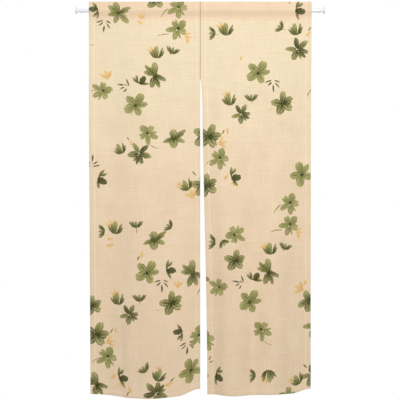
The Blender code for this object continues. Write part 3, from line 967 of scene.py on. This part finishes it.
def face_point(cloth, across, down):
    """A point of the cloth's right side, from its own grid."""
    column = min(max(bisect_right(columns, across), 1), len(columns) - 1)
    row = min(max(bisect_right(downs, down), 1), len(downs) - 1)
    along_row = (across - columns[column - 1]) / (columns[column] - columns[column - 1])
    along_column = (down - downs[row - 1]) / (downs[row] - downs[row - 1])
    on_rows = []
    for corner in ((row - 1) * len(columns) + column, row * len(columns) + column):
        left, right = cloth.data.vertices[corner - 1].co, cloth.data.vertices[corner].co
        on_rows.append(left.lerp(right, along_row))
    return on_rows[0].lerp(on_rows[1], along_column)


def sew(work, path, behind):
    """A row of stitches along a path of points on the cloth, or the same row behind it."""
    for first in range(0, len(path), 2 * STITCHES_AT_ONCE):
        few = path[first:first + 2 * STITCHES_AT_ONCE]
        row = bmesh.new()
        for start, end in zip(few[::2], few[1::2]):
            lengthwise = (end - start) / 2
            sideways = lengthwise.cross(Vector((0.0, 1.0, 0.0))).normalized() * STITCH_WIDTH / 2
            proud = sideways.cross(lengthwise).normalized() * STITCH_PROUD
            place = Matrix((sideways, proud, lengthwise)).transposed().to_4x4()
            place.translation = (start + end) / 2 + Vector((0.0, behind, 0.0))
            bmesh.ops.create_uvsphere(
                row, u_segments=STITCH_SIDES, v_segments=STITCH_RINGS, radius=1.0, matrix=place
            )
        sewn = bpy.data.meshes.new("few stitches")
        row.to_mesh(sewn)
        row.free()
        work.from_mesh(sewn)
        bpy.data.meshes.remove(sewn)


def stitch_ends(start, end):
    """Where each stitch of a row begins and ends."""
    count = int((end - start) / STITCH_PITCH)
    return [start + STITCH_PITCH * step + part for step in range(count) for part in (0.0, STITCH_LENGTH)]


thread, tree, shader = new_finish("cotton thread", Roughness=0.7, Sheen_Weight=0.2)
place = add("TexCoord", tree=tree).node.outputs["Object"]
twist = add("TexWave", place, TWIST_GRAIN, 1.5, bands_direction="DIAGONAL").node.outputs["Fac"]
fill(shader.inputs["Base Color"], blend(twist, THREAD_SHADE, THREAD))
emboss(shader, twist, strength=0.5, distance=0.0001)

upper_line = HEADER_TOP - UPPER_STITCH
lower_line = downs[HEADING_ROWS - 1]
hem_line = downs[-1] - BOTTOM_STITCH
for panel, cloth in zip(panels, cloths):
    work = bmesh.new()
    from_right = SLIT_STITCH if panel.side == "left" else SIDE_STITCH
    side_lines = (SIDE_STITCH, PANEL_WIDTH - from_right)
    for across in side_lines:
        path = [face_point(cloth, across, down) for down in stitch_ends(FROM_TOP, hem_line)]
        sew(work, path, IN_FRONT)
        path = [face_point(cloth, across, down) for down in stitch_ends(lower_line, hem_line)]
        sew(work, path, BEHIND_HEM)
    path = [face_point(cloth, across, hem_line) for across in stitch_ends(*side_lines)]
    sew(work, path, IN_FRONT)
    sew(work, path, BEHIND_HEM)
    for down in (upper_line, lower_line):
        ends = stitch_ends(FROM_SIDE, PANEL_WIDTH - FROM_SIDE)
        path = [face_point(cloth, across, down) for across in ends]
        sew(work, path, IN_FRONT)
        sew(work, [Vector((point.x, -point.y, point.z)) for point in path], -IN_FRONT)
    bmesh.ops.recalc_face_normals(work, faces=work.faces)
    stitching = finished(work, "stitching_" + panel.side)
    stitching.data.materials.append(thread)
    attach(stitching, "root")

# Rod
# A slim tension rod of thin steel tube, painted gloss white, which carries the cloth in its
# pocket. Both its ends are pushed into the end caps.
SPAN = 0.952
ROD_RADIUS = 0.0065
CAP_LENGTH = 0.028
SOCKET_DEPTH = 0.0085
ROD_CLEARANCE = 0.0003
ROD_HALF = SPAN / 2 - CAP_LENGTH + SOCKET_DEPTH - ROD_CLEARANCE
ROD_ROUNDING = 0.0006
ROUND_SIDES = 48
PAINT_SHADE = colour(234, 240, 245)
PAINT = colour(248, 251, 253)
PAINT_DRAWN = (6.0, 90.0, 90.0)
PAINT_ROUGHNESS = (0.16, 0.20)
PEEL_GRAIN = 700.0


def turned_piece(name, profile, rounding, node, finish):
    """Spins a profile of (x, radius) about the rod's axis, and rounds its ridges."""
    work = bmesh.new()
    corners = [work.verts.new((x, 0.0, radius)) for x, radius in profile]
    for near, far in zip(corners, corners[1:]):
        work.edges.new((near, far))
    bmesh.ops.spin(
        work, geom=work.verts[:] + work.edges[:], cent=(0.0, 0.0, 0.0), axis=(1.0, 0.0, 0.0),
        angle=2 * pi, steps=ROUND_SIDES, use_merge=True, use_duplicate=False,
    )
    bmesh.ops.remove_doubles(work, verts=work.verts, dist=1e-6)
    bmesh.ops.recalc_face_normals(work, faces=work.faces)
    piece = finished(work, name)
    piece.data.materials.append(finish)
    ridges = piece.modifiers.new("rounded ridges", "BEVEL")
    ridges.width = rounding
    ridges.segments = 3
    ridges.limit_method = "ANGLE"
    ridges.angle_limit = radians(40)
    ridges.harden_normals = True
    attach(piece, "root")
    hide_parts(node)


white_paint, tree, shader = new_finish("white gloss paint", Coat_Weight=0.4, Coat_Roughness=0.15)
place = add("TexCoord", tree=tree).node.outputs["Object"]
cloudy = noise(vector_maths("MULTIPLY", place, PAINT_DRAWN), 1.0, 3.0, 0.5)
fill(shader.inputs["Base Color"], blend(cloudy, PAINT_SHADE, PAINT))
fill(shader.inputs["Roughness"], scaled(cloudy, *PAINT_ROUGHNESS))
peel = noise(place, PEEL_GRAIN, 2.0, 0.5)
emboss(shader, peel, strength=0.12, distance=0.0002)
rod_profile = [(-ROD_HALF, 0.0), (-ROD_HALF, ROD_RADIUS), (0.0, ROD_RADIUS)]
rod_profile += [(ROD_HALF, ROD_RADIUS), (ROD_HALF, 0.0)]
turned_piece("tension_rod", rod_profile, ROD_ROUNDING, "rod", white_paint)

# End caps
# One moulded white plastic foot on each end of the rod: a collar that grips the tube, and a
# flare out to the round pad by which the rod is held. The pad has fine rings for its grip.
COLLAR_LENGTH = 0.011
COLLAR_RADIUS = 0.0080
NECK_RADIUS = 0.0052
FOOT_RADIUS = 0.0125
FOOT_RIM = 0.0025
FLARE_STEPS = 12
RING_DEPTH = 0.0004
RINGS = (0.0025, 0.0050, 0.0075, 0.0100)
RING_WIDTH = 0.0008
CAP_ROUNDING = 0.0004
PLASTIC_SHADE = colour(236, 239, 240)
PLASTIC = colour(248, 249, 249)
CLOUD_GRAIN = 60.0
MOULD_GRAIN = 1800.0
PLASTIC_ROUGHNESS = (0.2, 0.33)

white_plastic, tree, shader = new_finish("white satin plastic")
place = add("TexCoord", tree=tree).node.outputs["Object"]
cloudy = noise(place, CLOUD_GRAIN, 3.0, 0.5)
fill(shader.inputs["Base Color"], blend(cloudy, PLASTIC_SHADE, PLASTIC))
grain = noise(place, MOULD_GRAIN, 2.0, 0.5)
fill(shader.inputs["Roughness"], scaled(grain, *PLASTIC_ROUGHNESS))
emboss(shader, grain, strength=0.2, distance=0.0001)

socket_radius = ROD_RADIUS + ROD_CLEARANCE
mouth = SPAN / 2 - CAP_LENGTH
flare_start = mouth + COLLAR_LENGTH
rim_start = SPAN / 2 - FOOT_RIM
cap_profile = [(mouth + SOCKET_DEPTH, 0.0), (mouth + SOCKET_DEPTH, socket_radius)]
cap_profile += [(mouth, socket_radius), (mouth, COLLAR_RADIUS), (flare_start, COLLAR_RADIUS)]
for step in range(FLARE_STEPS + 1):
    turn = pi / 2 * step / FLARE_STEPS
    x = flare_start + FOOT_RIM + (rim_start - flare_start - FOOT_RIM) * sin(turn)
    cap_profile.append((x, NECK_RADIUS + (FOOT_RADIUS - NECK_RADIUS) * (1 - cos(turn))))
cap_profile.append((SPAN / 2, FOOT_RADIUS))
for ring in reversed(RINGS):
    cap_profile += [
        (SPAN / 2, ring + RING_WIDTH), (SPAN / 2 - RING_DEPTH, ring + RING_WIDTH / 2), (SPAN / 2, ring)
    ]
cap_profile.append((SPAN / 2, 0.0))
for name, side in (("left", -1), ("right", 1)):
    profile = [(side * x, radius) for x, radius in cap_profile]
    turned_piece("foot_" + name, profile, CAP_ROUNDING, "end_cap_" + name, white_plastic)

# Floor
# A plain pale floor well below the hem, made of one large flat square. It is staging and no
# part of the curtain.
FLOOR_Z = -1.95
FLOOR_REACH = 1.4
FLOOR_PAINT = (0.85, 0.85, 0.85, 1.0)
work = bmesh.new()
bmesh.ops.create_grid(work, x_segments=1, y_segments=1, size=FLOOR_REACH)
bmesh.ops.translate(work, verts=work.verts, vec=(0.0, 0.0, FLOOR_Z))
floor = finished(work, "floor")
floor.data.materials.append(new_finish("pale floor", Base_Color=FLOOR_PAINT)[0])

# Light
# An even white studio with one large soft lamp in front of the curtain and a weaker one above
# it, so that the broad folds shade softly.
ROOM_LIGHT = 0.42
world = bpy.data.worlds.new("studio")
bpy.context.scene.world = world
world.use_nodes = True
background = world.node_tree.nodes["Background"]
background.inputs["Color"].default_value = (1.0, 1.0, 1.0, 1.0)
to_camera = add("LightPath", tree=world.node_tree).node.outputs["Is Camera Ray"]
fill(background.inputs["Strength"], maths("MAXIMUM", to_camera, ROOM_LIGHT))
for name, stands, aim, width, height, power in (
    ("front lamp", (0.25, -2.4, 0.18), (0.0, 0.0, -0.57), 1.4, 1.0, 36.0),
    ("top lamp", (0.0, -1.3, 1.6), (0.0, 0.0, -0.3), 1.4, 0.5, 7.0),
):
    lamp_data = bpy.data.lights.new(name, "AREA")
    lamp_data.shape = "RECTANGLE"
    lamp_data.size = width
    lamp_data.size_y = height
    lamp_data.energy = power
    lamp = bpy.data.objects.new(name, lamp_data)
    lamp.location = stands
    lamp.rotation_euler = (Vector(aim) - lamp.location).to_track_quat("-Z", "Y").to_euler()
    bpy.context.scene.collection.objects.link(lamp)

# Camera
# Level with the middle of the curtain and square to it, far enough back for the photograph's
# frame without any shift.
PHOTO_SIDE = 400
CLOTH_IN_PHOTO = 222.4
METRES_PER_PIXEL = 2 * PANEL_WIDTH / CLOTH_IN_PHOTO
CAMERA_PLACE = (-0.0008, -2.4, -0.724)
CAMERA_SENSOR = 36.0
camera_data = bpy.data.cameras.new("camera")
camera_data.sensor_width = CAMERA_SENSOR
camera_data.lens = CAMERA_SENSOR * -CAMERA_PLACE[1] / (PHOTO_SIDE * METRES_PER_PIXEL)
camera = bpy.data.objects.new("camera", camera_data)
camera.location = CAMERA_PLACE
camera.rotation_euler = (pi / 2, 0.0, 0.0)
bpy.context.scene.collection.objects.link(camera)
bpy.context.scene.camera = camera
bpy.context.scene.view_settings.view_transform = "Standard"
